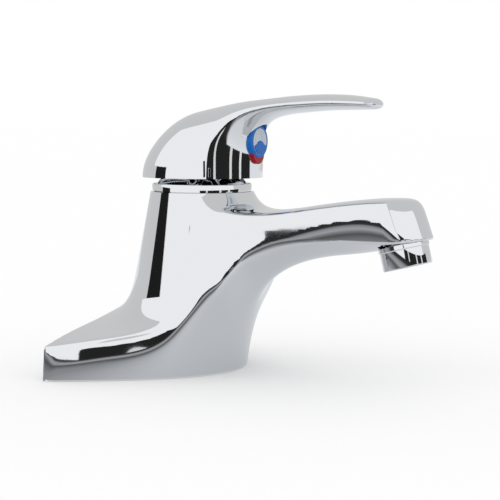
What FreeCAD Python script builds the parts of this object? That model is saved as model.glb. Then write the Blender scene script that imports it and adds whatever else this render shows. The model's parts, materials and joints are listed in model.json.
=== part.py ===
import FreeCAD, Part
import math
import os
from FreeCAD import Vector

os.makedirs("parts", exist_ok=True)

# Frame: the deck is z = 0, the spout points to -Y, the wings lie along X,
# and the cartridge axis is the Z axis.

# ---- body casting
TIP_X = 73.0            # half length of the base
REAR_Y = 48.0           # rear edge of the base
FRONT_Y = 19.5          # how far the base's nose stands in front of the axis
NOSE_SWEEP = 0.0116     # plan curve of the nose: y = -FRONT_Y + NOSE_SWEEP x^2
WALL_FRONT = 24.5       # the same for the wings' front wall
WALL_SWEEP = 0.0124
WING_TIP_Z = 16.8       # height of the wing at its tip
WING_ROOT_Z = 27.0      # height of the wing at the tower
BODY_TOP_Z = 91.2       # seat of the dome cap
BODY_TOP_R = 26.3
SPOUT_TOP_Z = 90.0
SPOUT_TIP_Y = 125.0
SPOUT_END = 108.0       # where the spout's rounded end begins
SPOUT_HALF = 16.2       # half width there

# ---- spout outlet
AERATOR_Y = 115.0       # centre of the aerator's lower rim, in front of the axis
AERATOR_Z = 57.5
AERATOR_TILT = 14.0     # degrees, leaning forward
AERATOR_R = 11.6
AERATOR_SHOWS = 10.5    # length below the spout


# ---- inside of the body
SOCKET_X = 51.0         # inlets on 102 mm (4 inch) centres
SOCKET_Y = 32.0
SOCKET_R = 9.3          # G 1/2 internal thread, minor radius
SOCKET_DEEP = 12.0
CHAMBER_R = 17.9
CHAMBER_Z = 52.0        # floor of the cartridge chamber
NUT_R = 20.0
NUT_Z = 82.9            # shoulder that the nut bears on
PORT_X = 7.5            # inlet ports in the chamber's floor
PORT_Y = 3.5
OUTLET_PORT_Y = -9.0
OUTLET_BORE_R = 9.6
INLET_BORE_R = 3.5
SPOUT_BORE_R = 8.5
PORT_R = 3.2
NECK_R = 4.2            # narrow stretches of the spout's passage
CORE_INSET = 6.6        # land left round the base, outside the hollow
CORE_WALL = 2.8         # metal left round the sockets and passages
CORE_TOP_Z = 12.5
GASKET_DEEP = 1.6

# ---- cartridge and handle
PIVOT_Z = 77.0          # the handle lifts about this height
CARTRIDGE_R = 17.4
DISC_Z = 58.0           # underside of the fixed ceramic disc
DISC_THICK = 3.5
SEAL_R = 16.85          # ring seal round the cartridge's foot
SEAL_THICK = 0.9
BALL_Z = 68.8           # spindle ball that pushes the moving disc
BALL_R = 3.0
REST_Y = 1.7            # the closed moving disc sits this far to the rear
RUNNING = 0.02          # film between the two ceramic discs
SPINDLE = 7.0           # square
DOME_R = 29.5           # dome cap, a sphere about the pivot
DOME_OPEN_R = 15.4      # opening that the spindle swings in
BAND_R = 25.4
BAND_TOP_Z = 95.4
HUB_Z = 98.4            # underside of the handle
HUB_LONG = 31.5         # hub ellipse, fore and aft
HUB_WIDE = 28.0
LEVER_TIP_Y = 98.4
WALL = 2.5
BOSS_R = 8.5            # boss inside the hub that holds the spindle
BOSS_Z = 106.5
SPINDLE_TOP_Z = 118.5
SCREW_Z = 114.0         # grub screw and indicator
BADGE_R = 8.3           # hot and cold indicator
BADGE_Z = 116.8
BADGE_Y = 34.0          # how far forward its face stands
BADGE_LIP = 0.6         # thickness of its coloured pieces

# ---- worked out from the above
MOVING_Z = DISC_Z + DISC_THICK + RUNNING
CARRIER_Z = MOVING_Z + DISC_THICK
PORTS = [(PORT_X, PORT_Y), (-PORT_X, PORT_Y), (0.0, OUTLET_PORT_Y)]


def at(forward, side, height):
    """A point from its distance in front of the axis, to the side, and above the deck."""
    return Vector(side, -forward, height)


def spline(points, closed=False):
    curve = Part.BSplineCurve()
    curve.interpolate(Points=points, PeriodicFlag=closed)
    return curve.toShape()


def face_from(curve, corners):
    """A flat face bounded by a curve and by straight lines through the corners, end to start."""
    edges = [curve]
    for start, end in zip(corners, corners[1:]):
        edges.append(Part.makeLine(start, end))
    return Part.Face(Part.Wire(edges))


def oval(z, half_width, rear, front, count=24):
    """Closed curve at height z, with its own reach to the rear and to the front."""
    points = []
    for i in range(count):
        a = 2 * math.pi * i / count
        reach = front if math.sin(a) > 0 else rear
        points.append(at(reach * math.sin(a), half_width * math.cos(a), z))
    return Part.Wire(spline(points, True))


# The concave front sheet: (forward, height) of its middle line, then the half width
# that it is drawn to, and how strongly it curves back across that width.
SHEET = [
    (19.5, 0.0, 92.0, 0.0116),
    (21.0, 9.0, 90.0, 0.0116),
    (23.4, 18.0, 86.0, 0.0116),
    (26.6, 28.0, 76.0, 0.0116),
    (31.0, 37.0, 64.0, 0.0118),
    (37.0, 44.6, 54.0, 0.0125),
    (45.0, 51.0, 46.0, 0.0140),
    (55.0, 56.0, 40.0, 0.0165),
    (67.0, 59.6, 36.0, 0.0195),
    (81.0, 62.0, 34.0, 0.0220),
    (98.0, 63.5, 33.0, 0.0220),
    (118.0, 64.0, 33.0, 0.0220),
    (140.0, 64.0, 33.0, 0.0220),
]


def front_sheet_cutter():
    """Everything in front of the concave sheet and below it."""
    rows = []
    for i, (forward, height, width, bend) in enumerate(SHEET):
        before = SHEET[max(i - 1, 0)]
        after = SHEET[min(i + 1, len(SHEET) - 1)]
        run, rise = after[0] - before[0], after[1] - before[1]
        if i == 0:
            run, rise = 0.0, 1.0
        length = math.hypot(run, rise)
        row = []
        for j in range(-6, 7):
            side = width * j / 6
            back = bend * side * side
            row.append(at(forward - back * rise / length, side, height + back * run / length))
        rows.append(row)
    surface = Part.BSplineSurface()
    surface.interpolate(rows)
    return surface.toShape().extrude(Vector(0, -200, -200))


def tower():
    sections = [
        oval(-2, 38.0, 46.0, 30.0),
        oval(30, 33.5, 40.0, 34.0),
        oval(60, 29.6, 33.2, 30.0),
        oval(BODY_TOP_Z, BODY_TOP_R, BODY_TOP_R, BODY_TOP_R),
    ]
    return Part.makeLoft(sections, True)


def swept_front(reach, nose, sweep, z):
    """The bowed front edge of the base in plan, from one wing's end to the other's."""
    points = []
    for i in range(-8, 9):
        x = reach * i / 8
        points.append(at(nose - sweep * x * x, x, z))
    return points


def wings():
    front = swept_front(TIP_X, WALL_FRONT, WALL_SWEEP, -2)
    rear = [front[-1], Vector(TIP_X, REAR_Y, -2), Vector(-TIP_X, REAR_Y, -2), front[0]]
    plan = face_from(spline(front), rear).extrude(Vector(0, 0, 60))
    reach = TIP_X + 5
    roof = []
    for i in range(-6, 7):
        x = reach * i / 6
        rise = (WING_ROOT_Z - WING_TIP_Z) * (1 - abs(x) / reach) ** 1.3
        roof.append(Vector(x, -60, WING_TIP_Z + rise))
    low = [roof[-1], Vector(reach, -60, -10), Vector(-reach, -60, -10), roof[0]]
    return plan.common(face_from(spline(roof), low).extrude(Vector(0, 140, 0)))


def rounded_end(widths, centre, length, half_width, z):
    """A plan outline: half widths along both sides, joined round the front by half an ellipse."""
    plan = [at(forward, side, z) for forward, side in widths]
    for angle in (60, 30, 0, -30, -60):
        a = math.radians(angle)
        plan.append(at(centre + length * math.cos(a), half_width * math.sin(a), z))
    plan += [at(forward, -side, z) for forward, side in reversed(widths)]
    return face_from(spline(plan), [plan[-1], plan[0]])


def spout():
    """The spout's side profile crossed with its plan. The front sheet cuts its underside later."""
    x = -40
    top = spline([at(0, x, 80), at(30, x, 81.5), at(57, x, 84.3), at(89, x, 88.6),
                  at(106, x, SPOUT_TOP_Z), at(115, x, 89.0), at(121, x, 84.5),
                  at(SPOUT_TIP_Y, x, 72.0)])
    low = [at(SPOUT_TIP_Y, x, 72), at(SPOUT_TIP_Y, x, 40), at(0, x, 40), at(0, x, 80)]
    side = face_from(top, low).extrude(Vector(-2 * x, 0, 0))
    widths = [(0, 26.0), (22, 23.5), (40, 19.5), (60, 17.6), (85, 16.8), (SPOUT_END, SPOUT_HALF)]
    plan = rounded_end(widths, SPOUT_END, SPOUT_TIP_Y - SPOUT_END, SPOUT_HALF, 0)
    return side.common(plan.extrude(Vector(0, 0, 200)))


def cylinder(radius, low, high, centre=(0, 0)):
    return Part.makeCylinder(radius, high - low, Vector(centre[0], centre[1], low))


def tube(outer, inner, low, high, centre=(0, 0)):
    return cylinder(outer, low, high, centre).cut(cylinder(inner, low - 1, high + 1, centre))


def rod(radius, start, end):
    return Part.makeCylinder(radius, (end - start).Length, start, end - start)


def box(x0, x1, y0, y1, z0, z1):
    return Part.makeBox(x1 - x0, y1 - y0, z1 - z0, Vector(x0, y0, z0))


def revolved(points):
    """A turned piece from its half section: (radius, height) corners."""
    wire = Part.makePolygon([Vector(r, 0, z) for r, z in points + points[:1]])
    return Part.Face(wire).revolve(Vector(0, 0, 0), Vector(0, 0, 1), 360)


def tilted(shape):
    """Moves a piece from the Z axis, z = 0 at the outlet, to the spout's outlet."""
    shape = shape.copy()
    shape.rotate(Vector(0, 0, 0), Vector(1, 0, 0), -AERATOR_TILT)
    shape.translate(at(AERATOR_Y, 0, AERATOR_Z))
    return shape


def base_outline(shrink, low, high):
    """The base outline, drawn in by shrink, as a solid between two heights."""
    reach = TIP_X - shrink
    front = swept_front(reach, FRONT_Y - 1.3 * shrink, 1.02 * NOSE_SWEEP, low)
    rear_y = REAR_Y - shrink
    rear = [front[-1], Vector(reach, rear_y, low), Vector(-reach, rear_y, low), front[0]]
    return face_from(spline(front), rear).extrude(Vector(0, 0, high - low))


def inlet_passage(side, radius):
    """The passage from one socket up to its port in the chamber's floor."""
    turn = Vector(side * 28, 17, 10)
    port = Vector(side * PORT_X, PORT_Y, 44)
    first = rod(radius, Vector(side * 44, 28, 8), turn)
    return [first, Part.makeSphere(radius, turn), rod(radius, turn, port)]


def waterways():
    """Sockets, passages up to the chamber, and the passage along the spout."""
    cuts = [cylinder(CHAMBER_R, CHAMBER_Z, 120), cylinder(NUT_R, NUT_Z, 120)]
    for side in (-1, 1):
        cuts.append(cylinder(SOCKET_R, -1, SOCKET_DEEP, (side * SOCKET_X, SOCKET_Y)))
        cuts += inlet_passage(side, INLET_BORE_R)
        cuts.append(cylinder(PORT_R, 43, CHAMBER_Z + 1, (side * PORT_X, PORT_Y)))
    cuts.append(cylinder(PORT_R, 42, CHAMBER_Z + 1, (0, OUTLET_PORT_Y)))
    run = [at(9, 0, 42), at(30, 0, 49.5), at(38, 0, 62), at(60, 0, 70.5), at(102, 0, 77)]
    for start, end, radius in zip(run, run[1:], (NECK_R, NECK_R, SPOUT_BORE_R, SPOUT_BORE_R)):
        cuts.append(rod(radius, start, end))
        cuts.append(Part.makeSphere(radius, start))
    cuts.append(Part.makeSphere(SPOUT_BORE_R, run[-1]))
    cuts.append(rod(NECK_R, run[-1], at(109, 0, 77)))
    cuts.append(tilted(cylinder(OUTLET_BORE_R, AERATOR_SHOWS - 1, AERATOR_SHOWS + 9)))
    cuts.append(tilted(cylinder(6.5, AERATOR_SHOWS, AERATOR_SHOWS + 13)))
    return cuts


def underside_hollow():
    """The cored-out space under the base, with the sockets, passages and middle pad left standing."""
    hollow = base_outline(CORE_INSET, -1, CORE_TOP_Z)
    column = Part.Ellipse(Vector(0, 19, -1), 19.0, 12.5)
    column = Part.Face(Part.Wire(column.toShape())).extrude(Vector(0, 0, 42))
    hollow = hollow.fuse(column).removeSplitter()
    hollow = hollow.cut(box(-9, 9, -30, 6.5, -2, 60))
    for side in (-1, 1):
        hollow = hollow.cut(cylinder(SOCKET_R + CORE_WALL, -2, 60, (side * SOCKET_X, SOCKET_Y)))
        for tube_wall in inlet_passage(side, INLET_BORE_R + CORE_WALL):
            hollow = hollow.cut(tube_wall)
    return hollow


def body_casting():
    body = tower().fuse(wings()).fuse(spout())
    body = body.cut(front_sheet_cutter())
    body = body.cut(box(-200, 200, -200, 200, -50, 0))
    body = body.cut(box(-200, 200, -200, 200, BODY_TOP_Z, 200))
    body = body.cut(tilted(box(-40, 40, -40, 18, -60, AERATOR_SHOWS)))
    body = body.removeSplitter()
    for cut in waterways():
        body = body.cut(cut)
    return body.cut(underside_hollow())


def base_gasket():
    """A soft pad inside the hollow between the two sockets, with a large opening for the passages."""
    pad = base_outline(CORE_INSET + 0.1, 0.05, GASKET_DEEP).common(box(-50, 50, -60, 60, -1, 5))
    pad = pad.cut(box(-9.1, 9.1, -30, 6.6, -2, 60)).cut(box(-30, 30, 10, 37, -2, 60))
    for side in (-1, 1):
        pad = pad.cut(cylinder(SOCKET_R + CORE_WALL + 0.1, -2, 60, (side * SOCKET_X, SOCKET_Y)))
    return pad


def port_seals(low):
    return Part.makeCompound([tube(4.6, 3.3, low, low + 1.0, port) for port in PORTS])


def cartridge_base():
    base = cylinder(CARTRIDGE_R, CHAMBER_Z, DISC_Z)
    base = base.cut(Part.makeTorus(SEAL_R + 0.05, SEAL_THICK + 0.1, Vector(0, 0, CHAMBER_Z + 3)))
    for port in PORTS:
        base = base.cut(cylinder(PORT_R, 0, 100, port))
        base = base.cut(cylinder(4.7, 0, CHAMBER_Z + 1.05, port))
        base = base.cut(cylinder(4.7, DISC_Z - 1.05, 100, port))
    return base


def housing_seal():
    return Part.makeTorus(SEAL_R, SEAL_THICK, Vector(0, 0, CHAMBER_Z + 3))


def fixed_disc():
    disc = cylinder(13.9, DISC_Z, DISC_Z + DISC_THICK)
    for port in PORTS:
        disc = disc.cut(cylinder(3.0, 0, 100, port))
    return disc


def moving_disc():
    disc = cylinder(11.3, MOVING_Z, CARRIER_Z, (0, REST_Y))
    mixing = cylinder(6.3, MOVING_Z - 1, MOVING_Z + 2, (0, REST_Y - 2.5))
    return disc.cut(mixing)


def disc_carrier():
    carrier = cylinder(10.8, CARRIER_Z, 69.5, (0, REST_Y))
    socket = cylinder(3.8, CARRIER_Z + 0.6, 71)
    return carrier.cut(socket)


def cartridge_housing():
    points = [(14.1, DISC_Z), (CARTRIDGE_R, DISC_Z), (CARTRIDGE_R, NUT_Z - 0.1), (13.5, NUT_Z - 0.1),
              (13.5, 88.0), (12.15, 88.0), (12.15, 80.4), (14.1, 80.4)]
    return revolved(points)


def hot_limit_ring():
    ring = tube(16.2, 13.6, 85.1, 88.0)
    stop = box(-1.6, 1.6, 13.9, 16.0, 87.0, 89.4)
    return ring.fuse(stop).removeSplitter()


def cartridge_nut():
    points = [(14.0, NUT_Z), (NUT_R - 0.1, NUT_Z), (NUT_R - 0.1, 90.4), (16.6, 90.4), (16.6, 85.0),
              (14.0, 85.0)]
    nut = revolved(points)
    for i in range(6):
        slot = box(-2, 2, 17.8, 21, 88.0, 91)
        slot.rotate(Vector(0, 0, 0), Vector(0, 0, 1), 60 * i)
        nut = nut.cut(slot)
    return nut


def swivel_guide():
    guide = cylinder(13.7, 70.0, 80.1).fuse(cylinder(12.1, 80.1, 90.5)).removeSplitter()
    guide = guide.cut(box(-SPINDLE / 2 - 0.05, SPINDLE / 2 + 0.05, -9.5, 9.5, 60, 100))
    return guide.cut(rod(2.0, Vector(-20, 0, PIVOT_Z), Vector(20, 0, PIVOT_Z)))


def spindle_pin():
    return rod(1.95, Vector(-12.5, 0, PIVOT_Z), Vector(12.5, 0, PIVOT_Z))


def spindle():
    half = SPINDLE / 2
    stem = box(-half, half, -half, half, 71.0, SPINDLE_TOP_Z)
    stem = stem.fuse(cylinder(2.3, BALL_Z, 71.5)).fuse(Part.makeSphere(BALL_R, Vector(0, 0, BALL_Z)))
    return stem.cut(rod(2.0, Vector(-20, 0, PIVOT_Z), Vector(20, 0, PIVOT_Z)))


def cap_ring():
    return tube(BAND_R - 2.1, 20.6, BODY_TOP_Z + 0.05, 94.1)


def dome_cap():
    shell = Part.makeSphere(DOME_R, Vector(0, 0, PIVOT_Z))
    shell = shell.cut(Part.makeSphere(DOME_R - 1.3, Vector(0, 0, PIVOT_Z)))
    shell = shell.common(cylinder(40, 94.2, 140))
    shell = shell.cut(cylinder(DOME_OPEN_R, 60, 140))
    band = revolved([(BAND_R - 2.0, BODY_TOP_Z + 0.05), (BAND_R, BODY_TOP_Z + 0.05),
                     (BAND_R, BAND_TOP_Z - 0.5), (BAND_R - 0.5, BAND_TOP_Z), (22.6, BAND_TOP_Z),
                     (22.6, 94.2), (BAND_R - 2.0, 94.2)])
    return shell.fuse(band).removeSplitter()


# The lever's middle line in side view: (forward, height), along the top and then underneath.
TOP_LINE = [(-HUB_LONG, HUB_Z), (-31.0, 107.0), (-27.6, 115.5), (-20.0, 123.0), (-11.0, 128.0),
            (0.0, 131.6), (15.0, 134.8), (35.0, 137.6), (57.0, 139.4), (75.0, 139.9), (90.0, 138.8),
            (LEVER_TIP_Y, 136.0)]
UNDER_LINE = [(LEVER_TIP_Y, 133.8), (94.0, 132.2), (84.0, 132.6), (74.0, 133.2), (62.0, 131.4),
              (50.0, 127.6), (42.0, 122.6), (36.5, 115.0)]
INNER_LINE = [(-28.6, 97.0), (-28.0, 107.0), (-24.6, 113.4), (-17.5, 120.0), (-8.0, 124.8),
              (6.0, 128.2), (20.0, 130.0), (28.9, 127.0)]


def ellipse_column(long_half, wide_half, low, high):
    curve = Part.Ellipse(Vector(0, 0, low), long_half, wide_half)
    face = Part.Face(Part.Wire(curve.toShape()))
    face.rotate(Vector(0, 0, 0), Vector(0, 0, 1), 90)
    return face.extrude(Vector(0, 0, high - low))


def side_slab(runs):
    """A slab 80 mm wide from its side view: each run of points is a spline, or a line if it has two."""
    edges = []
    for run in runs:
        points = [at(forward, -40, height) for forward, height in run]
        edges.append(spline(points) if len(points) > 2 else Part.makeLine(*points))
    return Part.Face(Part.Wire(edges)).extrude(Vector(80, 0, 0))


def lever_plan():
    widths = [(-10, 26.0), (10, 25.6), (22, 21.8), (36, 16.6), (52, 13.6), (70, 12.3), (86, 12.0)]
    centre, half_width = widths[-1]
    plan = rounded_end(widths, centre, LEVER_TIP_Y - centre, half_width, 90)
    return plan.extrude(Vector(0, 0, 60))


def handle():
    hub_top = TOP_LINE[:8]
    front = (hub_top[-1][0], HUB_Z)
    hub = side_slab([hub_top, [hub_top[-1], front], [front, hub_top[0]]])
    hub = hub.common(ellipse_column(HUB_LONG, HUB_WIDE, 90, 150))
    lever_top = TOP_LINE[3:]
    root, back = (20.0, 112.0), (-20.0, 112.0)
    lever = side_slab([lever_top, [lever_top[-1], UNDER_LINE[0]], UNDER_LINE, [UNDER_LINE[-1], root],
                       [root, back], [back, lever_top[0]]])
    body = hub.fuse(lever.common(lever_plan())).removeSplitter()
    inner_front = (INNER_LINE[-1][0], INNER_LINE[0][1])
    hollow = side_slab([INNER_LINE, [INNER_LINE[-1], inner_front], [inner_front, INNER_LINE[0]]])
    hollow = hollow.common(ellipse_column(HUB_LONG - WALL, HUB_WIDE - WALL, 80, 150))
    body = body.cut(hollow.cut(cylinder(BOSS_R, BOSS_Z, 128)))
    half = SPINDLE / 2 + 0.05
    body = body.cut(box(-half, half, -half, half, 100, SPINDLE_TOP_Z + 0.3))
    body = body.cut(rod(2.5, Vector(0, 0, SCREW_Z), at(20, 0, SCREW_Z)))
    body = body.cut(rod(5.1, at(20, 0, SCREW_Z), at(50, 0, SCREW_Z)))
    seat = badge_disc(BADGE_R + 0.1, 20, BADGE_Y + 10).cut(ellipse_column(HUB_LONG, HUB_WIDE, 90, 150))
    return body.cut(seat)


def grub_screw():
    screw = rod(2.45, at(SPINDLE / 2 + 0.05, 0, SCREW_Z), at(8.5, 0, SCREW_Z))
    corners = []
    for i in range(7):
        a = math.pi * i / 3
        corners.append(at(9, 1.4 * math.cos(a), SCREW_Z + 1.4 * math.sin(a)))
    return screw.cut(Part.Face(Part.makePolygon(corners)).extrude(Vector(0, 3, 0)))


def badge_disc(radius, back, front):
    return rod(radius, at(back, 0, BADGE_Z), at(front, 0, BADGE_Z))


def indicator_plug():
    head = badge_disc(BADGE_R, 27.0, BADGE_Y - BADGE_LIP)
    head = head.cut(ellipse_column(HUB_LONG + 0.05, HUB_WIDE + 0.05, 90, 150))
    stem = rod(5.0, at(27, 0, SCREW_Z), at(BADGE_Y - BADGE_LIP, 0, SCREW_Z))
    return stem.fuse(head).removeSplitter()


def indicator_blue_ring():
    return badge_disc(BADGE_R, BADGE_Y - BADGE_LIP, BADGE_Y).cut(badge_disc(BADGE_R - 1.8, 0, 60))


def indicator_segments():
    """Lower part of the face, blue on one side and red on the other."""
    face = badge_disc(BADGE_R - 1.85, BADGE_Y - BADGE_LIP, BADGE_Y - 0.1)
    lower = BADGE_Z - 1.2
    blue = face.common(box(0.1, 20, -60, 0, 80, lower))
    red = face.common(box(-20, -0.1, -60, 0, 80, lower))
    return blue, red


def aerator_housing():
    collar = AERATOR_R + 0.5
    shoulder = AERATOR_SHOWS - 0.1
    return tilted(revolved([(9.2, 0), (AERATOR_R - 0.3, 0), (AERATOR_R, 0.4), (AERATOR_R, 8.6),
                            (collar, 9.0), (collar, shoulder), (9.5, shoulder), (9.5, 17.0),
                            (8.2, 17.0), (8.2, 2.2), (9.2, 1.4)]))


def aerator_insert():
    return tilted(tube(8.1, 6.7, 2.4, 14.0))


def outlet_grid():
    bars = []
    for i in range(-4, 5):
        bars.append(box(i * 1.45 - 0.25, i * 1.45 + 0.25, -7, 7, 3.0, 4.4))
        bars.append(box(-7, 7, i * 1.45 - 0.25, i * 1.45 + 0.25, 3.0, 4.4))
    grid = bars[0].fuse(bars[1:]).common(cylinder(6.3, 0, 10))
    return tilted(grid.fuse(tube(6.6, 6.0, 3.0, 4.4)).removeSplitter())


def perforated(radius, low, high, hole, rings):
    disc = cylinder(radius, low, high)
    holes = []
    for ring_radius, count in rings:
        for i in range(count):
            a = 2 * math.pi * i / count
            centre = (ring_radius * math.cos(a), ring_radius * math.sin(a))
            holes.append(cylinder(hole, low - 1, high + 1, centre))
    return tilted(disc.cut(Part.makeCompound(holes)))


def diffuser():
    return perforated(6.6, 9.0, 10.4, 0.6, [(2.6, 6), (4.8, 12)])


def filter_screen():
    return perforated(8.0, 14.1, 14.9, 0.55, [(1.8, 6), (3.6, 12), (5.4, 18), (7.0, 22)])


def aerator_washer():
    return tilted(tube(9.4, 6.6, 17.1, 19.3))


NODES = {
    "body_casting": body_casting,
    "base_gasket": base_gasket,
    "cartridge_base": cartridge_base,
    "outer_port_seals": lambda: port_seals(CHAMBER_Z),
    "inner_port_seals": lambda: port_seals(DISC_Z - 1.0),
    "cartridge_seal_ring": housing_seal,
    "fixed_ceramic_disc": fixed_disc,
    "moving_ceramic_disc": moving_disc,
    "disc_carrier": disc_carrier,
    "cartridge_housing": cartridge_housing,
    "hot_limit_ring": hot_limit_ring,
    "cartridge_nut": cartridge_nut,
    "swivel_guide": swivel_guide,
    "spindle_pin": spindle_pin,
    "spindle": spindle,
    "cap_retaining_ring": cap_ring,
    "dome_cap": dome_cap,
    "handle": handle,
    "handle_grub_screw": grub_screw,
    "indicator_plug": indicator_plug,
    "indicator_blue_ring": indicator_blue_ring,
    "indicator_blue_segment": lambda: indicator_segments()[0],
    "indicator_red_segment": lambda: indicator_segments()[1],
    "aerator_housing": aerator_housing,
    "aerator_insert": aerator_insert,
    "outlet_grid": outlet_grid,
    "aerator_diffuser": diffuser,
    "filter_screen": filter_screen,
    "aerator_washer": aerator_washer,
}

for name, make in NODES.items():
    make().exportStep(f"parts/{name}.step")
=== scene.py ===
"""Single-lever basin mixer: the shown surfaces, finishes, floor, studio and camera.

The body casting and the lever are free-form castings. Each is described by a few smooth fields, negative
inside, and turned into a mesh with true creases and true normals, so that the chrome reflects like a
polished casting. Lengths are in millimetres until a mesh is made. Forward is out along the spout, -Y of
the frame, and x runs along the base.
"""
import json
import math

import bmesh
import bpy
import numpy as np
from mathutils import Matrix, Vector


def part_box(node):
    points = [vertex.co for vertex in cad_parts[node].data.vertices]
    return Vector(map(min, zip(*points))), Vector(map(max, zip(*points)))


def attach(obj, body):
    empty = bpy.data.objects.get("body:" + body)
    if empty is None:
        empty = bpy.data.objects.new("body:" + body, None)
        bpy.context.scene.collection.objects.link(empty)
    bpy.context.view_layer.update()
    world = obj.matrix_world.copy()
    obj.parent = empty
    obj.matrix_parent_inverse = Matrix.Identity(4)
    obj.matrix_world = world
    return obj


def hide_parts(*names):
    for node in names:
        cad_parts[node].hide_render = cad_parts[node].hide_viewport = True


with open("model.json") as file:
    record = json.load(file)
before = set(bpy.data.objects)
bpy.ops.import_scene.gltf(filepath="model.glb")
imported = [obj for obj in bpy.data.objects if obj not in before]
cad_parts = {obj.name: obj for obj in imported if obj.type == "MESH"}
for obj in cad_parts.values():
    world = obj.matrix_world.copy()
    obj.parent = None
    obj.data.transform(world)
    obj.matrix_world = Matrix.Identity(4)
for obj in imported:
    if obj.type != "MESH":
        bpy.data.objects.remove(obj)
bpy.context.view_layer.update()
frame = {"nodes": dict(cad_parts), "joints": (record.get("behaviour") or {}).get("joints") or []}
MM = 0.001

# ------------------------------------------------------------------ sizes taken from the frame


def corners(node):
    """A node's lowest and highest corners, in millimetres to the nearest tenth."""
    return [[round(value / MM, 1) for value in corner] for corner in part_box(node)]


def joint_height(name):
    joint = next(joint for joint in frame["joints"] if joint["name"] == name)
    return round(joint["pos_m"][2] / MM, 1)


BODY_LOW, BODY_HIGH = corners("body_casting")
TIP_X, REAR_Y, BODY_TOP_Z = BODY_HIGH
SPOUT_TIP_Y = -BODY_LOW[1]

LEVER_LOW, LEVER_HIGH = corners("handle")
HUB_WIDE, HUB_LONG, LEVER_TOP_Z = LEVER_HIGH
LEVER_TIP_Y, HUB_Z = -LEVER_LOW[1], LEVER_LOW[2]

BADGE_LOW, BADGE_HIGH = corners("indicator_blue_ring")
BADGE_R = BADGE_HIGH[0]
BADGE_Y = -BADGE_LOW[1]
BADGE_Z = round((BADGE_LOW[2] + BADGE_HIGH[2]) / 2, 1)

BAND_R = corners("dome_cap")[1][0]
NUT_SEAT, NUT_HIGH = corners("cartridge_nut")
FOOT_LOW, FOOT_HIGH = corners("cartridge_base")
PIVOT_Z = joint_height("handle_lift")

# ------------------------------------------------------------------ smooth fields


def soft_min(a, b, k):
    """The lower of two fields, with the corner between them rounded over a width k."""
    h = np.maximum(k - np.abs(a - b), 0.0) / k
    return np.minimum(a, b) - h ** 3 * k / 6.0


def soft_max(a, b, k):
    return -soft_min(-a, -b, k)


def ease(t):
    """0 below 0, 1 above 1, and smooth between."""
    t = np.clip(t, 0.0, 1.0)
    return t * t * (3.0 - 2.0 * t)


def track(t, points):
    """A smooth line through (place, value) points, straight beyond its ends."""
    place, value = np.array(points, float).T
    slope = np.gradient(value, place)
    i = np.clip(np.searchsorted(place, t) - 1, 0, len(place) - 2)
    width = place[i + 1] - place[i]
    u = (t - place[i]) / width
    v = np.clip(u, 0.0, 1.0)
    middle = (
        value[i] * (1 + 2 * v) * (1 - v) ** 2
        + value[i + 1] * (3 - 2 * v) * v * v
        + slope[i] * width * v * (1 - v) ** 2
        + slope[i + 1] * width * v * v * (v - 1)
    )
    before = np.where(u < 0, slope[i] * u * width, 0)
    after = np.where(u > 1, slope[i + 1] * (u - 1) * width, 0)
    return middle + before + after


def side_of(x):
    """Distance from the middle plane, smooth across it."""
    return np.sqrt(x * x + 1e-6)


def run_distance(p, start, end):
    """Distance from the straight run between two points."""
    start = np.array(start, float)
    run = np.array(end, float) - start
    t = np.clip((p - start) @ run / (run @ run), 0, 1)
    return np.linalg.norm(p - start - t[:, None] * run, axis=1)


# ------------------------------------------------------------------ meshing

HALVINGS = 12           # how often a crossing is narrowed down
SETTLING = 6            # how often a vertex is pulled on to its surfaces
SLOPE_STEP = 0.02
RIDGE = 0.002           # keeps a vertex steady where its surfaces are nearly parallel
CELL_CLAMP = 0.35       # how far a vertex may leave its cell, in cells
BATCHES = 8             # the grid is evaluated in this many parts, to save memory


class Solid:
    """Points where every group's lowest field is negative. One field alone is a wall; several are a hole."""

    def __init__(self, fields, groups):
        self.fields = fields
        self.names = list(dict.fromkeys(name for group in groups for name in group))
        self.groups = [np.array([self.names.index(name) for name in group]) for group in groups]

    def values(self, p):
        found = self.fields(p)
        return np.array([found[name] for name in self.names])

    def active(self, p):
        """(value, number of the field that gives it) at each point."""
        v = self.values(p)
        best = np.full(len(p), -np.inf)
        which = np.zeros(len(p), int)
        for g in self.groups:
            k = np.argmin(v[g], axis=0)
            low = v[g][k, np.arange(len(p))]
            up = low > best
            best[up] = low[up]
            which[up] = g[k][up]
        return best, which

    def slopes(self, p):
        """Gradient of every field at each point: (fields, points, 3)."""
        parts = []
        for axis in range(3):
            shift = np.zeros(3)
            shift[axis] = SLOPE_STEP
            parts.append((self.values(p + shift) - self.values(p - shift)) / (2 * SLOPE_STEP))
        return np.stack(parts, axis=-1)


def crossings(solid, axes, value, axis):
    """Crossed grid edges along one axis: (lower corner's index, crossing point, field, rising)."""
    a = np.moveaxis(value, axis, 0)
    hit = np.moveaxis((a[:-1] < 0) != (a[1:] < 0), 0, axis)
    index = np.argwhere(hit)
    start = np.stack([axes[d][index[:, d]] for d in range(3)], axis=1)
    end = start.copy()
    end[:, axis] = axes[axis][index[:, axis] + 1]
    rising = value[tuple(index.T)] < 0
    low, high = np.where(rising[:, None], start, end), np.where(rising[:, None], end, start)
    for _ in range(HALVINGS):
        middle = (low + high) / 2
        inside = solid.active(middle)[0] < 0
        low[inside] = middle[inside]
        high[~inside] = middle[~inside]
    point = (low + high) / 2
    return index, point, solid.active(point)[1], rising


def rings_round(edges, counts):
    """For each crossed grid edge, the four cells round it, in the order that faces outwards."""
    rings = []
    for axis, (index, _, _, rising) in enumerate(edges):
        b, c = (axis + 1) % 3, (axis + 2) % 3
        ring = []
        for db, dc in ((-1, -1), (0, -1), (0, 0), (-1, 0)):
            cell = index.copy()
            cell[:, b] += db
            cell[:, c] += dc
            ring.append(np.ravel_multi_index(tuple(cell.T), counts))
        ring = np.stack(ring, axis=1)
        ring[~rising] = ring[~rising][:, ::-1]
        rings.append(ring)
    return np.concatenate(rings)


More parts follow.
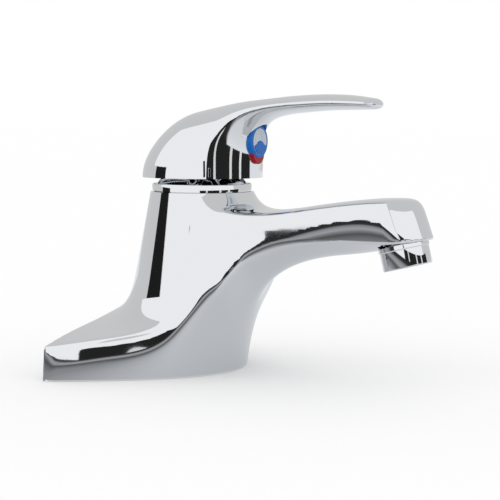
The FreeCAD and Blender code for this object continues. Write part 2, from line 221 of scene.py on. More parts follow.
def settle(solid, vertex, touches, corner, step):
    """Moves each vertex on to all the fields its cell touches, keeping it in or near its cell."""
    for _ in range(SETTLING):
        v = solid.values(vertex).T
        slope = np.moveaxis(solid.slopes(vertex), 0, 1)
        a = slope * touches[:, :, None]
        r = np.where(touches, v, 0.0)
        square = np.einsum("nik,njk->nij", a, a)
        size = np.einsum("nii->ni", square).max(axis=1)
        ridge = np.where(touches, RIDGE * size[:, None], 1.0)
        square[:, np.arange(a.shape[1]), np.arange(a.shape[1])] += ridge
        pull = np.einsum("nik,ni->nk", a, np.linalg.solve(square, r[:, :, None])[:, :, 0])
        vertex = vertex - pull
        vertex = np.clip(vertex, corner - CELL_CLAMP * step, corner + (1 + CELL_CLAMP) * step)
    return vertex


def corner_normals(solid, vertex, quads, quad_field):
    """The true normal at each corner of each quad, from the field that the quad lies on."""
    normal = np.zeros((len(quads), 4, 3))
    for i in range(len(solid.names)):
        mine = quad_field == i
        if mine.any():
            used, back = np.unique(quads[mine], return_inverse=True)
            slope = solid.slopes(vertex[used])[i]
            slope /= np.linalg.norm(slope, axis=1, keepdims=True)
            normal[mine] = slope[back.reshape(-1, 4)]
    return normal


def surface_mesh(solid, low, high, step):
    """Vertices, quads and corner normals of the solid's skin, in millimetres."""
    counts = np.ceil((np.array(high) - low) / step).astype(int) + 1
    axes = [low[d] + step * np.arange(counts[d]) for d in range(3)]
    grid = np.stack(np.meshgrid(*axes, indexing="ij"), axis=-1).reshape(-1, 3)
    value = np.concatenate([solid.active(part)[0] for part in np.array_split(grid, BATCHES)])
    value = value.reshape(counts)
    edges = [crossings(solid, axes, value, axis) for axis in range(3)]
    ring = rings_round(edges, counts)
    point = np.concatenate([edge[1] for edge in edges])
    quad_field = np.concatenate([edge[2] for edge in edges])

    cells, inverse = np.unique(ring.reshape(-1), return_inverse=True)
    point_of = np.repeat(point, 4, axis=0)
    count = np.bincount(inverse)
    vertex = np.stack([np.bincount(inverse, point_of[:, d]) / count for d in range(3)], axis=1)
    corner = np.stack([axes[d][i] for d, i in enumerate(np.unravel_index(cells, counts))], axis=1)
    touches = np.zeros((len(cells), len(solid.names)), bool)
    touches[inverse, np.repeat(quad_field, 4)] = True
    vertex = settle(solid, vertex, touches, corner, step)
    quads = np.searchsorted(cells, ring)
    return vertex, quads, corner_normals(solid, vertex, quads, quad_field)


def lathe(profile, steps=144):
    """Vertices and faces of a closed (radius, height) outline turned about the z axis."""
    angle = np.linspace(0, 2 * math.pi, steps, endpoint=False)
    r, z = np.array(profile, float).T
    across = [np.outer(np.cos(angle), r), np.outer(np.sin(angle), r)]
    ring = np.stack(across + [np.tile(z, (steps, 1))], axis=-1)
    n = len(profile)
    faces = []
    for i in range(steps):
        a, b = i * n, (i + 1) % steps * n
        for j in range(n):
            k = (j + 1) % n
            faces.append((a + j, b + j, b + k, a + k))
    return ring.reshape(-1, 3), faces


def plate(outline, back, front):
    """Vertices and faces of an (x, z) outline made solid from back to front, measured forward."""
    n = len(outline)
    points = np.array([(x, -depth, z) for depth in (back, front) for x, z in outline])
    faces = [tuple(range(n))[::-1], tuple(range(n, 2 * n))]
    faces += [(i, (i + 1) % n, n + (i + 1) % n, n + i) for i in range(n)]
    return points, faces


def turned(points, tilt, centre):
    """Points tipped forward about the x axis and set down at a (forward, height) centre."""
    c, s = math.cos(tilt), math.sin(tilt)
    y = points[:, 1] * c + points[:, 2] * s
    z = -points[:, 1] * s + points[:, 2] * c
    return np.stack([points[:, 0], y - centre[0], z + centre[1]], axis=1)


def arc(radius, start, end, steps, centre=(0.0, 0.0)):
    """Points on an arc, angles in degrees."""
    out = []
    for i in range(steps + 1):
        a = math.radians(start + (end - start) * i / steps)
        out.append((centre[0] + radius * math.cos(a), centre[1] + radius * math.sin(a)))
    return out


# ------------------------------------------------------------------ making the pieces

SHARP_ANGLE = math.radians(28)
BEVEL_SEGMENTS = 3


def new_object(name, mesh):
    obj = bpy.data.objects.new(name, mesh)
    bpy.context.scene.collection.objects.link(obj)
    return obj


def place_piece(name, mesh, body, replaces, material):
    """A mesh object riding on a body and standing for CAD nodes."""
    piece = new_object(name, mesh)
    piece.data.materials.append(material)
    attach(piece, body)
    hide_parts(*replaces)
    return piece


def cast_piece(name, solid, low, high, step, body, replaces, material):
    """A free-form casting, meshed from its fields with their true normals."""
    vertex, quads, normal = surface_mesh(solid, np.array(low), np.array(high), step)
    mesh = bpy.data.meshes.new(name)
    mesh.from_pydata((vertex * MM).tolist(), [], quads.tolist())
    mesh.polygons.foreach_set("use_smooth", [True] * len(mesh.polygons))
    mesh.normals_split_custom_set(normal.reshape(-1, 3).tolist())
    mesh.validate(clean_customdata=False)
    return place_piece(name, mesh, body, replaces, material)


def hard_piece(name, points, faces, body, replaces, slot, material, bevel=0.0):
    """A turned or flat piece: smooth curves, sharp corners, and a fine bevel where asked."""
    mesh = bpy.data.meshes.new(name)
    mesh.from_pydata((np.array(points) * MM).tolist(), [], [tuple(map(int, f)) for f in faces])
    mesh.validate()
    bm = bmesh.new()
    bm.from_mesh(mesh)
    bmesh.ops.recalc_face_normals(bm, faces=bm.faces)
    bm.to_mesh(mesh)
    bm.free()
    mesh.polygons.foreach_set("use_smooth", [True] * len(mesh.polygons))
    mesh.set_sharp_from_angle(angle=SHARP_ANGLE)
    piece = place_piece(name, mesh, body, replaces, material)
    if bevel:
        edge = piece.modifiers.new("edge", "BEVEL")
        edge.width = bevel * MM
        edge.segments = BEVEL_SEGMENTS
        edge.limit_method = "ANGLE"
        edge.harden_normals = True
    return piece


# ------------------------------------------------------------------ finishes

METAL_BUMP = 0.02
ENAMEL_DARK, ENAMEL_LIGHT, ENAMEL_GLOSS = 0.86, 1.1, 0.25


def node_material(name):
    material = bpy.data.materials.new(name)
    material.use_nodes = True
    tree = material.node_tree
    return material, tree, tree.nodes["Principled BSDF"]


def grain_noise(tree, scale):
    """A noise that stays with the object."""
    place = tree.nodes.new("ShaderNodeTexCoord")
    noise = tree.nodes.new("ShaderNodeTexNoise")
    noise.inputs["Scale"].default_value = scale
    tree.links.new(place.outputs["Object"], noise.inputs["Vector"])
    return noise


def metal(name, colour, roughness, grain=900.0, relief=0.00001):
    """Bare or plated metal: one colour and one roughness, with a fine unevenness from a noise bump."""
    material, tree, shader = node_material(name)
    shader.inputs["Base Color"].default_value = (*colour, 1)
    shader.inputs["Metallic"].default_value = 1
    shader.inputs["Roughness"].default_value = roughness
    bump = tree.nodes.new("ShaderNodeBump")
    bump.inputs["Strength"].default_value = METAL_BUMP
    bump.inputs["Distance"].default_value = relief
    tree.links.new(grain_noise(tree, grain).outputs["Fac"], bump.inputs["Height"])
    tree.links.new(bump.outputs["Normal"], shader.inputs["Normal"])
    return material


def enamel(name, colour, roughness=0.3, grain=260.0):
    """Enamel, plastic, rubber or ceramic: a colour that a fine noise makes slightly darker and lighter."""
    material, tree, shader = node_material(name)
    shader.inputs["Roughness"].default_value = roughness
    shader.inputs["Specular IOR Level"].default_value = ENAMEL_GLOSS
    tones = tree.nodes.new("ShaderNodeValToRGB")
    tones.color_ramp.elements[0].color = (*[c * ENAMEL_DARK for c in colour], 1)
    tones.color_ramp.elements[1].color = (*[min(c * ENAMEL_LIGHT, 1) for c in colour], 1)
    tree.links.new(grain_noise(tree, grain).outputs["Fac"], tones.inputs["Fac"])
    tree.links.new(tones.outputs["Color"], shader.inputs["Base Color"])
    return material


polished = metal("polished_chrome", (0.765, 0.78, 0.80), 0.035)
blue = enamel("blue_enamel", (0.002, 0.13, 0.50))
red = enamel("red_enamel", (0.33, 0.003, 0.008))
pale = enamel("pale_enamel", (0.55, 0.60, 0.66), 0.16)
brass = metal("turned_brass", (0.78, 0.57, 0.28), 0.28, 300.0, 0.00004)
steel = metal("stainless_steel", (0.62, 0.62, 0.64), 0.24, 500.0, 0.00003)
wire_mesh = metal("woven_steel", (0.50, 0.50, 0.52), 0.38, 1500.0, 0.0001)
rubber = enamel("black_rubber", (0.02, 0.02, 0.022), 0.75, 500.0)
ceramic = enamel("alumina", (0.82, 0.80, 0.76), 0.18, 120.0)
grey_plastic = enamel("grey_acetal", (0.42, 0.43, 0.45), 0.45, 200.0)
white_plastic = enamel("white_acetal", (0.72, 0.72, 0.70), 0.4, 200.0)
limit_plastic = enamel("limit_ring_plastic", (0.50, 0.06, 0.04), 0.45, 200.0)

FINISHES = {
    "base_gasket": rubber, "outer_port_seals": rubber, "inner_port_seals": rubber,
    "cartridge_seal_ring": rubber, "aerator_washer": rubber, "cartridge_nut": brass,
    "cap_retaining_ring": brass, "spindle": steel, "spindle_pin": steel, "handle_grub_screw": steel,
    "fixed_ceramic_disc": ceramic, "moving_ceramic_disc": ceramic, "cartridge_base": grey_plastic,
    "cartridge_housing": grey_plastic, "outlet_grid": grey_plastic, "disc_carrier": white_plastic,
    "swivel_guide": white_plastic, "aerator_insert": white_plastic, "aerator_diffuser": white_plastic,
    "hot_limit_ring": limit_plastic, "filter_screen": wire_mesh, "indicator_plug": pale,
    "indicator_blue_ring": blue, "indicator_blue_segment": blue, "indicator_red_segment": red,
}


def finish_cad_nodes():
    """Every CAD node keeps its shape and gets its finish; chrome is the rule."""
    for node, obj in frame["nodes"].items():
        finish = FINISHES.get(node, polished)
        if not obj.data.materials:
            obj.data.materials.append(finish)
        for i in range(len(obj.data.materials)):
            obj.data.materials[i] = finish


# ------------------------------------------------------------------ body casting

# Slopes are mm per mm, and bows are mm per mm squared, unless a comment says more.
TOWER_R = 26.3
TOWER_SIDE_FLARE, TOWER_REAR_FLARE, TOWER_FRONT_FLARE = 0.107, 0.215, 0.5
TOWER_FOOT, TOWER_FOOT_Z, TOWER_FOOT_TALL = 14.0, 62.0, 22.0

WING_ROOT_Z, WING_FALL = 27.0, 0.00191
WALL_FRONT_Y, WALL_SWEEP, WALL_SLANT = 20.6, 0.01178, 0.75
WALL_FOOT_Z, WALL_LEAN, WALL_BOW_OVER, WALL_BOW_UNDER = 5.0, 0.08, 0.0052, 0.03
WING_TOP_EDGE, WING_TIP_EDGE, WING_TIP_DRAFT = 5.0, 2.5, 0.03
REAR_EDGE, REAR_DRAFT = 3.5, 0.04
TOWER_FILLET, SPOUT_FILLET = 26.0, 15.0

SPOUT_HALF = 16.2
SPOUT_TOP = ((20, 82.5), (36, 82.8), (47, 83.2), (57, 84.3), (73, 86.8), (89, 88.9), (102, 90.1),
             (112, 90.3), (126, 89.2))
SPOUT_WIDE = ((14, 27), (22, 23.5), (40, 19.5), (60, 17.6), (85, 16.8), (109, SPOUT_HALF),
              (126, SPOUT_HALF))
SPOUT_WAIST = ((20, 52), (32, 59.6), (57, 71), (74, 76.2), (88, 79.2), (98, 80), (108, 78.8), (120, 74.6))
SPOUT_END_LEAN, SPOUT_END_Z = 0.36, 76.0
SPOUT_TUCK, SPOUT_TUCK_LIMIT = 0.02, 30.0
SPOUT_CROWN, SPOUT_TOP_EDGE = 0.004, 8.0
SPOUT_ROOT_Y, SPOUT_ROOT_EDGE = 14.0, 10.0

SHEET_SWEEP, SHEET_BEND = 0.0116, 113.0
SHEET_FOOT_Y, SHEET_LEAN = 17.95, 0.03156
SHEET_TOP_Z, SHEET_FALL, SHEET_DIP, SHEET_DIP_Y = 65.22, 0.0158, 0.00375, 80.0
LIFT_BOW, LIFT_HALF = 0.035, 21.0
LIFT_START_Y, LIFT_RISE, LIFT_END_Y, LIFT_FADE = 24.0, 13.0, 80.0, 48.0
ROLL_SHARP, ROLL_ROUND, ROLL_LONG, ROLL_FRONT_Y, ROLL_REAR_Y = 1.5, 4.5, 40.0, 80.0, -40.0

OUTLET_FACE_Y, OUTLET_FACE_Z, OUTLET_FACE_SLOPE, OUTLET_REAR_Y = 106.8, 67.9, 0.115, 103.5

SOCKET_X, SOCKET_Y, SOCKET_R, SOCKET_DEEP = 51.0, 32.0, 9.3, 12.0
NUT_R, NUT_Z = NUT_HIGH[0] + 0.1, NUT_SEAT[2]
CHAMBER_R, CHAMBER_Z = FOOT_HIGH[0] + 0.5, FOOT_LOW[2]
CORE_INSET, CORE_TOP_Z, CORE_WALL = 6.6, 12.5, 2.8
CORE_FRONT_Y, CORE_SWEEP = 10.92, 0.01183
PAD_HALF, PAD_REAR_Y = 9.0, 6.5
COLUMN_Y, COLUMN_HALF_X, COLUMN_HALF_Y, COLUMN_TOP_Z = 19.0, 19.0, 12.5, 42.0
PASSAGE_R = 3.5
PASSAGE = ((44, -28, 8), (28, -17, 10), (7.5, -3.5, 44))    # (side, forward, height) of its bends

BODY_STEP = 1.5


def tower_field(x, forward, z):
    """Oval in plan, and wider towards its foot: least at the sides, and most in front, under the spout."""
    down = BODY_TOP_Z - z
    wide = TOWER_R + TOWER_SIDE_FLARE * down
    foot = TOWER_FOOT * ease((TOWER_FOOT_Z - z) / TOWER_FOOT_TALL)
    deep = TOWER_R + np.where(forward < 0, TOWER_REAR_FLARE * down, TOWER_FRONT_FLARE * down + foot)
    return (np.hypot(x / wide, forward / deep) - 1) * wide


def wing_field(x, side, forward, z):
    """A roof that falls towards the tips, a swept front wall that leans back, and upright tips."""
    roof = z - (WING_ROOT_Z - WING_FALL * x * x)
    rise = z - WALL_FOOT_Z
    lean = WALL_LEAN * rise + np.where(rise > 0, WALL_BOW_OVER, WALL_BOW_UNDER) * rise ** 2
    front = (forward - (WALL_FRONT_Y - WALL_SWEEP * x * x - lean)) * WALL_SLANT
    tip = side - TIP_X + WING_TIP_DRAFT * z
    return soft_max(soft_max(roof, front, WING_TOP_EDGE), tip, WING_TIP_EDGE)


def spout_field(x, forward, z):
    """Flat-sided with a rounded end, its sides curving in under the waist."""
    end = SPOUT_TIP_Y - SPOUT_HALF
    under = np.maximum(track(forward, SPOUT_WAIST) - z, 0)
    ahead = np.maximum(forward - end + SPOUT_END_LEAN * (z - SPOUT_END_Z), 0)
    tuck = SPOUT_TUCK * under ** 2 / (1 + under / SPOUT_TUCK_LIMIT)
    across = np.hypot(x, ahead) - track(forward, SPOUT_WIDE) + tuck
    top = z - track(forward, SPOUT_TOP) + SPOUT_CROWN * x * x
    return soft_max(soft_max(across, top, SPOUT_TOP_EDGE), SPOUT_ROOT_Y - forward, SPOUT_ROOT_EDGE)


def front_sheet(x, forward, z):
    """The concave sheet that makes the front of the body and, bending forward, the spout's underside."""
    f = forward + SHEET_SWEEP * x * x
    bow = LIFT_BOW * x * x / (1 + (x / LIFT_HALF) ** 4)
    h = z - bow * ease((forward - LIFT_START_Y) / LIFT_RISE) * (1 - ease((forward - LIFT_END_Y) / LIFT_FADE))
    ceiling = SHEET_TOP_Z - SHEET_FALL * f + SHEET_DIP * np.maximum(f - SHEET_DIP_Y, 0) ** 2
    return soft_min(f - (SHEET_FOOT_Y + SHEET_LEAN * h), ceiling - h, SHEET_BEND)


def skin_field(x, side, forward, z):
    """Tower, wings and spout, joined by fillets and cut by the front sheet along a rolled edge."""
    low = soft_min(tower_field(x, forward, z), wing_field(x, side, forward, z), TOWER_FILLET)
    low = soft_max(low, -forward - REAR_Y + REAR_DRAFT * z, REAR_EDGE)
    outer = soft_min(low, spout_field(x, forward, z), SPOUT_FILLET)
    middle = ease((ROLL_FRONT_Y - forward) / ROLL_LONG) * ease((forward - ROLL_REAR_Y) / ROLL_LONG)
    return soft_max(outer, front_sheet(x, forward, z), ROLL_SHARP + ROLL_ROUND * middle)


def passage_field(side, forward, z):
    """The metal round the passage that leads up from each socket."""
    near = np.stack([side, forward, z], axis=1)
    first, second = (run_distance(near, start, end) for start, end in zip(PASSAGE, PASSAGE[1:]))
    return np.minimum(first, second) - PASSAGE_R - CORE_WALL


def body_fields(p):
    x, forward, z = p[:, 0], -p[:, 1], p[:, 2]
    side = side_of(x)
    radius = np.hypot(x, forward)
    socket = SOCKET_R - np.hypot(side - SOCKET_X, forward + SOCKET_Y)
    column = np.hypot(x / COLUMN_HALF_X, (forward + COLUMN_Y) / COLUMN_HALF_Y)
    return {
        "skin": skin_field(x, side, forward, z),
        "outlet_face": OUTLET_FACE_Z + OUTLET_FACE_SLOPE * (forward - OUTLET_FACE_Y) - z,
        "outlet_rear": forward - OUTLET_REAR_Y,
        "top": z - BODY_TOP_Z,
        "foot": -z,
        "socket": socket,
        "socket_end": SOCKET_DEEP - z,
        "nut_bore": NUT_R - radius,
        "nut_seat": z - NUT_Z,
        "chamber": CHAMBER_R - radius,
        "chamber_floor": z - CHAMBER_Z,
        "core_front": (CORE_FRONT_Y - CORE_SWEEP * x * x - forward) * WALL_SLANT,
        "core_end": TIP_X - CORE_INSET - side,
        "core_rear": forward + REAR_Y - CORE_INSET,
        "core_top": CORE_TOP_Z - z,
        "socket_wall": -socket - CORE_WALL,
        "passage_wall": passage_field(side, forward, z),
        "pad_side": side - PAD_HALF,
        "pad_rear": -PAD_REAR_Y - forward,
        "column": COLUMN_HALF_Y * (1 - column),
        "column_top": COLUMN_TOP_Z - z,
    }


def body_shell():
    """The body casting with its outlet, sockets, cartridge chamber and the hollow under the base."""
    core = ["core_front", "core_end", "core_rear", "core_top", "socket_wall", "passage_wall"]
    groups = [
        ["skin"], ["outlet_face", "outlet_rear"], ["top"], ["foot"], ["socket", "socket_end"],
        ["nut_bore", "nut_seat"], ["chamber", "chamber_floor"],
        core + ["pad_side"], core + ["pad_rear"], ["passage_wall", "column", "column_top"],
    ]
    # the grid stands a little clear of the casting on every side
    low = [-TIP_X - 1.3, -SPOUT_TIP_Y - 4.3, -0.7]
    high = [TIP_X + 1.3, REAR_Y + 1.3, BODY_TOP_Z + 0.8]
    cast_piece("body_shell", Solid(body_fields, groups), low, high, BODY_STEP,
               "body", ["body_casting"], polished)


# ------------------------------------------------------------------ lever

LEVER_TOP = ((-34, 120), (-21, 124.3), (-14, 127.2), (-3, 130.8), (11, 133.9), (25, 136.4), (39, 137.9),
             (56, 139.4), (72, 139.9), (85, 139.4), (100, 137.4))
HUB_FRONT = 32.0
HUB_DROP = 2.0          # the crown's curve starts this far under the hub
CROWN_POWER, CROWN_SIZE, CROWN_TAPER = 2.25, 28.0, 0.028
TIP_REACH, TIP_BOW, TIP_LEAN, TIP_LEAN_Z, TIP_EDGE = 1.6, 0.02, 0.1, 136.0, 4.0
BOW_HALF, BOW_FLOOR = 28.4, 0.0009
BELLY_Z, BELLY_RISE, BELLY_RISE_Y, BELLY_CROSS = 131.9, 0.012, 60.0, 0.0165
BELLY_DROP, BELLY_DROP_Y, BELLY_DROP_LONG, BELLY_BEND = 2.5, 80.0, 50.0, 28.0
LEVER_EDGE, LEVER_WALL = 5.0, 2.5
HOLLOW_FRONT_Y = 22.5   # in front of this the hub is solid, behind the badge
BADGE_GAP = 0.15
LEVER_STEP = BODY_STEP * 0.8


def crown_field(x, forward, z):
    """A tunnel-shaped upper surface that domes over at the rear and ends in a bowed tip."""
    wide = np.where(forward > 0, HUB_WIDE - CROWN_TAPER * forward, HUB_WIDE)
    rho = np.hypot(x / wide, np.minimum(forward, 0) / HUB_LONG)
    start = HUB_Z - HUB_DROP
    tall = np.maximum(z - start, 0) / (track(forward, LEVER_TOP) - start)
    crown = ((rho ** CROWN_POWER + tall ** CROWN_POWER) ** (1 / CROWN_POWER) - 1) * CROWN_SIZE
    tip = forward - (LEVER_TIP_Y + TIP_REACH - TIP_BOW * x * x) + TIP_LEAN * (z - TIP_LEAN_Z)
    return soft_max(crown, tip, TIP_EDGE)


def belly_field(x, side, forward, z):
    """The hub's bowed front wall, bending forward into the lever's underside."""
    bow = HUB_FRONT * (1 - np.sqrt(np.maximum(1 - (side / BOW_HALF) ** 2, BOW_FLOOR)))
    f = forward + bow
    h = z - BELLY_CROSS * x * x
    drop = BELLY_DROP * ease((BELLY_DROP_Y - f) / BELLY_DROP_LONG)
    return soft_min(f - HUB_FRONT, BELLY_Z + BELLY_RISE * (f - BELLY_RISE_Y) - drop - h, BELLY_BEND)


def lever_fields(p):
    x, forward, z = p[:, 0], -p[:, 1], p[:, 2]
    side = side_of(x)
    outer = soft_max(crown_field(x, forward, z), belly_field(x, side, forward, z), LEVER_EDGE)
    return {
        "outer": outer,
        "base": HUB_Z - z,
        "hollow": -outer - LEVER_WALL,
        "hollow_front": HOLLOW_FRONT_Y - forward,
        "pocket": BADGE_R + BADGE_GAP - np.hypot(x, z - BADGE_Z),
        "pocket_end": forward - HUB_LONG,
    }


def lever_shell():
    """Hub and lever in one casting, hollow over the dome cap, with a pocket for the badge."""
    groups = [["outer"], ["base"], ["hollow", "hollow_front"], ["pocket", "pocket_end"]]
    low = [-HUB_WIDE - 1.3, -LEVER_TIP_Y - 1.9, HUB_Z - 0.7]
    high = [HUB_WIDE + 1.3, HUB_LONG + 1.8, LEVER_TOP_Z + 1.1]
    cast_piece("lever_shell", Solid(lever_fields, groups), low, high, LEVER_STEP,
               "lever", ["handle"], polished)


# ------------------------------------------------------------------ dome cap

DOME_R, DOME_THICK, DOME_OPEN_R = 29.5, 1.3, 15.4
DOME_FOOT, DOME_INNER_FOOT = 37.6, 39.0     # degrees above level where the dome meets the band
BAND_TOP_Z, BAND_WALL, BAND_LIFT = 95.4, 2.0, 0.05


def dome_cap_shell():
    """The bright band on the body, and the dome that the handle swings over, open for the spindle."""
    inner_r = DOME_R - DOME_THICK
    pivot = (0, PIVOT_Z)
    foot, inner = BODY_TOP_Z + BAND_LIFT, BAND_R - BAND_WALL
    profile = [(inner, foot), (BAND_R - 0.3, foot), (BAND_R, foot + 0.3), (BAND_R, BAND_TOP_Z - 0.6),
               (BAND_R - 0.2, BAND_TOP_Z - 0.2), (BAND_R - 0.6, BAND_TOP_Z)]
    profile += arc(DOME_R, DOME_FOOT, math.degrees(math.acos(DOME_OPEN_R / DOME_R)), 16, pivot)
    profile += arc(inner_r, math.degrees(math.acos(DOME_OPEN_R / inner_r)), DOME_INNER_FOOT, 16, pivot)
    profile += [(inner - 1.4, BAND_TOP_Z - 1.2), (inner, BAND_TOP_Z - 1.4)]
    hard_piece("dome_cap_shell", *lathe(profile), "body", ["dome_cap"], "chrome_trim", polished)


# ------------------------------------------------------------------ aerator

OUTLET_Y, OUTLET_Z, OUTLET_TILT = 115.0, 57.5, math.radians(14.0)
NOZZLE = [(9.2, 0.0), (11.5, 0.0), (11.8, 0.25), (11.9, 0.6), (11.9, 8.6), (12.3, 9.1), (12.3, 11.0),
          (11.0, 11.6), (9.5, 12.4), (9.5, 15.0), (8.2, 15.0), (8.2, 3.0), (9.2, 2.0)]


def aerator_shell():
    """The turned housing screwed into the spout, its upper end out of sight."""
    points, faces = lathe(NOZZLE)
    points = turned(points, OUTLET_TILT, (OUTLET_Y, OUTLET_Z))
    hard_piece("aerator_shell", points, faces, "body", ["aerator_housing"], "chrome_trim", polished)


# ------------------------------------------------------------------ hot and cold indicator

RING_WIDE = 1.7
BADGE_BACK_Y = 28.5
FACE_SINK = 0.5         # how far the face's pieces reach in behind the ring's front
SWEEP = (200, 340)      # degrees: the lower part of a circle
HUMP = ((3.6, -1.6), (2.0, -0.2), (0, 0.3), (-2.0, -0.2), (-3.6, -1.6))
HOT_R, HOT_DROP, HOT_HALF, HOT_TOP = 5.4, 6.0, 5.6, 5.5


def indicator():
    """A blue ring round a pale face, with a blue field across the face and a red tip under the ring."""
    centre = (0, BADGE_Z)
    face_r = BADGE_R - RING_WIDE
    rim = plate(arc(BADGE_R, 0, 360, 96, centre)[:-1], BADGE_BACK_Y, BADGE_Y)
    hard_piece("indicator_rim", *rim, "lever", ["indicator_blue_ring"], "badge_blue", blue, 0.5)
    face = plate(arc(face_r, 0, 360, 72, centre)[:-1], BADGE_Y - FACE_SINK, BADGE_Y + 0.15)
    hard_piece("indicator_face", *face, "lever", ["indicator_plug"], "badge_pale", pale, 0.12)
    outline = arc(face_r - 0.1, *SWEEP, 30, centre) + [(x, BADGE_Z + z) for x, z in HUMP]
    cold = plate(outline, BADGE_Y - FACE_SINK, BADGE_Y + 0.7)
    hard_piece("indicator_cold_field", *cold, "lever", ["indicator_blue_segment"], "badge_blue", blue, 0.3)
    ends = [(side * HOT_HALF, BADGE_Z - HOT_TOP) for side in (-1, 1)]
    outline = ends[:1] + arc(HOT_R, *SWEEP, 24, (0, BADGE_Z - HOT_DROP)) + ends[1:]
    hot = plate(outline, BADGE_BACK_Y + 0.5, BADGE_Y - 0.4)
    hard_piece("indicator_hot_tip", *hot, "lever", ["indicator_red_segment"], "badge_red", red, 0.4)


# ------------------------------------------------------------------ floor and studio

CAMERA_AZIMUTH = 211.4
FLOOR_SIZE, FLOOR_TONE, FLOOR_DROP = 40.0, 0.995, 0.0002
CARD_FAR, CARD_HEIGHT = 1.2, 0.07
CARD_SPAN = 4           # degrees that one strip of a card takes
TABLE_SIZE, TABLE_LIFT, TABLE_TURN = 6.0, 0.0006, 55.0
TABLE_TINT = (0.965, 0.985, 1.015)
# the bright side of the painted table reflection, as (distance, brightness): darker close to the object as
# painted shade
LIGHT_TONES = ((0.0, 0.50), (0.05, 0.63), (0.15, 0.78), (1.0, 0.92))
# the dark side of the painted table reflection, in bands, as (distance, brightness)
DARK_TONES = ((0.0, 0.35), (0.11, 0.30), (0.17, 0.10), (0.24, 0.42), (0.34, 0.30), (0.46, 0.04), (1.0, 0.02))
WORLD_SEEN, WORLD_REFLECTED = 1.0, 0.68

# name: (left and right edge, in degrees to the camera's left; low and high edge, in degrees; brightness)
CARDS = {
    "softbox_left": (5, 77, -12, 88, 1.05),
    "flag_left": (78, 102, -14, 11, 0.015),
    "softbox_top": (76, 110, 11, 88, 1.05),
    "softbox_high": (5, -78, 6.5, 30, 1.05),
}
# the room beyond the softboxes: dark stretches with brighter gaps, as (left, right, brightness)
ROOM = ((5, -9, 0.02), (-9, -13, 0.8), (-13, -40, 0.02), (-40, -45, 0.8), (-45, -62, 0.02),
        (-62, -67, 0.9), (-67, -92, 0.02))
ROOM_LOW, ROOM_HIGH = -12, 6.5


def plane(name, size, height, tone):
    """A square level sheet, in metres."""
    half = size / 2
    around = [(-half, -half, 0), (half, -half, 0), (half, half, 0), (-half, half, 0)]
    mesh = bpy.data.meshes.new(name)
    mesh.from_pydata(around, [], [(0, 1, 2, 3)])
    sheet = new_object(name, mesh)
    sheet.location = (0, 0, height)
    material, _, shader = node_material(name)
    shader.inputs["Base Color"].default_value = (tone, tone, tone, 1)
    shader.inputs["Roughness"].default_value = 0.9
    shader.inputs["Specular IOR Level"].default_value = 0
    mesh.materials.append(material)
    return sheet


def only_reflected(card):
    card.visible_camera = False
    card.visible_diffuse = False
    card.visible_shadow = False


def reflector(name, left, right, low, high, glow):
    """A curved studio card seen only in reflections."""
    steps = max(2, int(abs(left - right) / CARD_SPAN))
    points = []
    for i in range(steps + 1):
        a = math.radians(CAMERA_AZIMUTH - (left + (right - left) * i / steps))
        for elevation in (low, high):
            e = math.radians(elevation)
            out = CARD_FAR * math.cos(e)
            points.append((out * math.cos(a), out * math.sin(a), CARD_HEIGHT + CARD_FAR * math.sin(e)))
    faces = [(2 * i, 2 * i + 1, 2 * i + 3, 2 * i + 2) for i in range(steps)]
    mesh = bpy.data.meshes.new(name)
    mesh.from_pydata(points, [], faces)
    card = new_object(name, mesh)
    material, _, shader = node_material(name)
    shader.inputs["Base Color"].default_value = (0, 0, 0, 1)
    shader.inputs["Specular IOR Level"].default_value = 0
    shader.inputs["Emission Color"].default_value = (1, 1, 1, 1)
    shader.inputs["Emission Strength"].default_value = glow
    mesh.materials.append(material)
    only_reflected(card)


def painted_reflection_tones(tree, reach, tones):
    """Painted brightness of the table's reflection by distance from the object, in metres."""
    node = tree.nodes.new("ShaderNodeValToRGB")
    stops = node.color_ramp.elements
    while len(stops) < len(tones):
        stops.new(0.5)
    for stop, (distance, tone) in zip(stops, tones):
        stop.position = distance
        stop.color = (*[tint * tone for tint in TABLE_TINT], 1)
    tree.links.new(reach.outputs["Value"], node.inputs["Fac"])
    return node


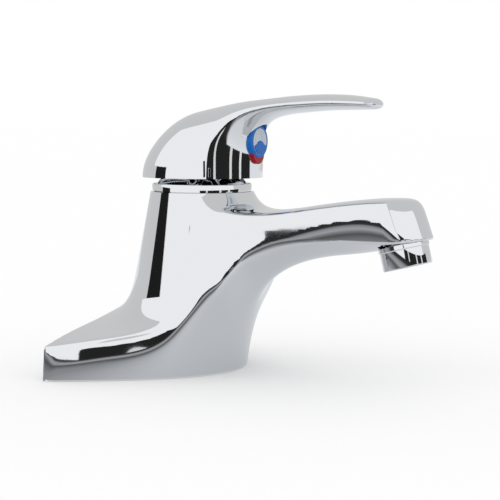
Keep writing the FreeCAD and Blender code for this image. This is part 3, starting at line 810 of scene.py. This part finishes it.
def table_reflection():
    """A glowing sheet seen only in reflections, with the table's reflection painted on it: bright on one
    side of the object, banded and dark on the other, and the bright side darker close to the object as
    painted shade.
    """
    table = plane("table_reflection", TABLE_SIZE, TABLE_LIFT, 0)
    only_reflected(table)
    tree = table.data.materials[0].node_tree
    shader = tree.nodes["Principled BSDF"]
    place = tree.nodes.new("ShaderNodeTexCoord")
    reach = tree.nodes.new("ShaderNodeVectorMath")
    reach.operation = "LENGTH"
    turn = tree.nodes.new("ShaderNodeVectorRotate")
    turn.rotation_type = "Z_AXIS"
    turn.inputs["Angle"].default_value = -math.radians(CAMERA_AZIMUTH - TABLE_TURN)
    split = tree.nodes.new("ShaderNodeSeparateXYZ")
    side = tree.nodes.new("ShaderNodeMapRange")
    side.interpolation_type = "SMOOTHSTEP"
    side.inputs["From Min"].default_value = 0.03
    side.inputs["From Max"].default_value = 0.10
    mix = tree.nodes.new("ShaderNodeMix")
    mix.data_type = "RGBA"
    tree.links.new(place.outputs["Object"], reach.inputs[0])
    tree.links.new(place.outputs["Object"], turn.inputs["Vector"])
    tree.links.new(turn.outputs["Vector"], split.inputs["Vector"])
    tree.links.new(split.outputs["X"], side.inputs["Value"])
    tree.links.new(side.outputs["Result"], mix.inputs["Factor"])
    tree.links.new(painted_reflection_tones(tree, reach, LIGHT_TONES).outputs["Color"], mix.inputs["A"])
    tree.links.new(painted_reflection_tones(tree, reach, DARK_TONES).outputs["Color"], mix.inputs["B"])
    tree.links.new(mix.outputs["Result"], shader.inputs["Emission Color"])
    shader.inputs["Emission Strength"].default_value = 1.0


def studio_world():
    """White all round, a little dimmer where the chrome reflects it."""
    world = bpy.data.worlds.new("studio")
    bpy.context.scene.world = world
    world.use_nodes = True
    tree = world.node_tree
    background = tree.nodes["Background"]
    path = tree.nodes.new("ShaderNodeLightPath")
    level = tree.nodes.new("ShaderNodeMapRange")
    level.inputs["To Min"].default_value = WORLD_SEEN
    level.inputs["To Max"].default_value = WORLD_REFLECTED
    tree.links.new(path.outputs["Is Glossy Ray"], level.inputs["Value"])
    tree.links.new(level.outputs["Result"], background.inputs["Strength"])
    background.inputs["Color"].default_value = (1, 1, 1, 1)


def studio():
    floor = plane("floor", FLOOR_SIZE, -FLOOR_DROP, FLOOR_TONE)
    # the chrome sees the painted table reflection in place of the floor
    floor.visible_glossy = False
    for name, card in CARDS.items():
        reflector(name, *card)
    for i, (left, right, glow) in enumerate(ROOM):
        reflector(f"room_{i}", left, right, ROOM_LOW, ROOM_HIGH, glow)
    table_reflection()
    studio_world()


# ------------------------------------------------------------------ camera

CAMERA_AT = Vector((-0.6657, -0.4091, 0.1274))
AIM = Vector((0.01074, -0.0186, 0.06864))
LENS, SENSOR = 110.0, 36.0
SHIFT_X, SHIFT_Y = 0.012, -0.030


def camera():
    data = bpy.data.cameras.new("camera")
    data.sensor_width = SENSOR
    data.lens = LENS
    data.shift_x, data.shift_y = SHIFT_X, SHIFT_Y
    eye = new_object("camera", data)
    eye.location = CAMERA_AT
    eye.rotation_euler = (AIM - CAMERA_AT).to_track_quat("-Z", "Y").to_euler()
    bpy.context.scene.camera = eye
    bpy.context.scene.view_settings.view_transform = "Standard"


dome_cap_shell()
aerator_shell()
indicator()
body_shell()
lever_shell()
finish_cad_nodes()
studio()
camera()
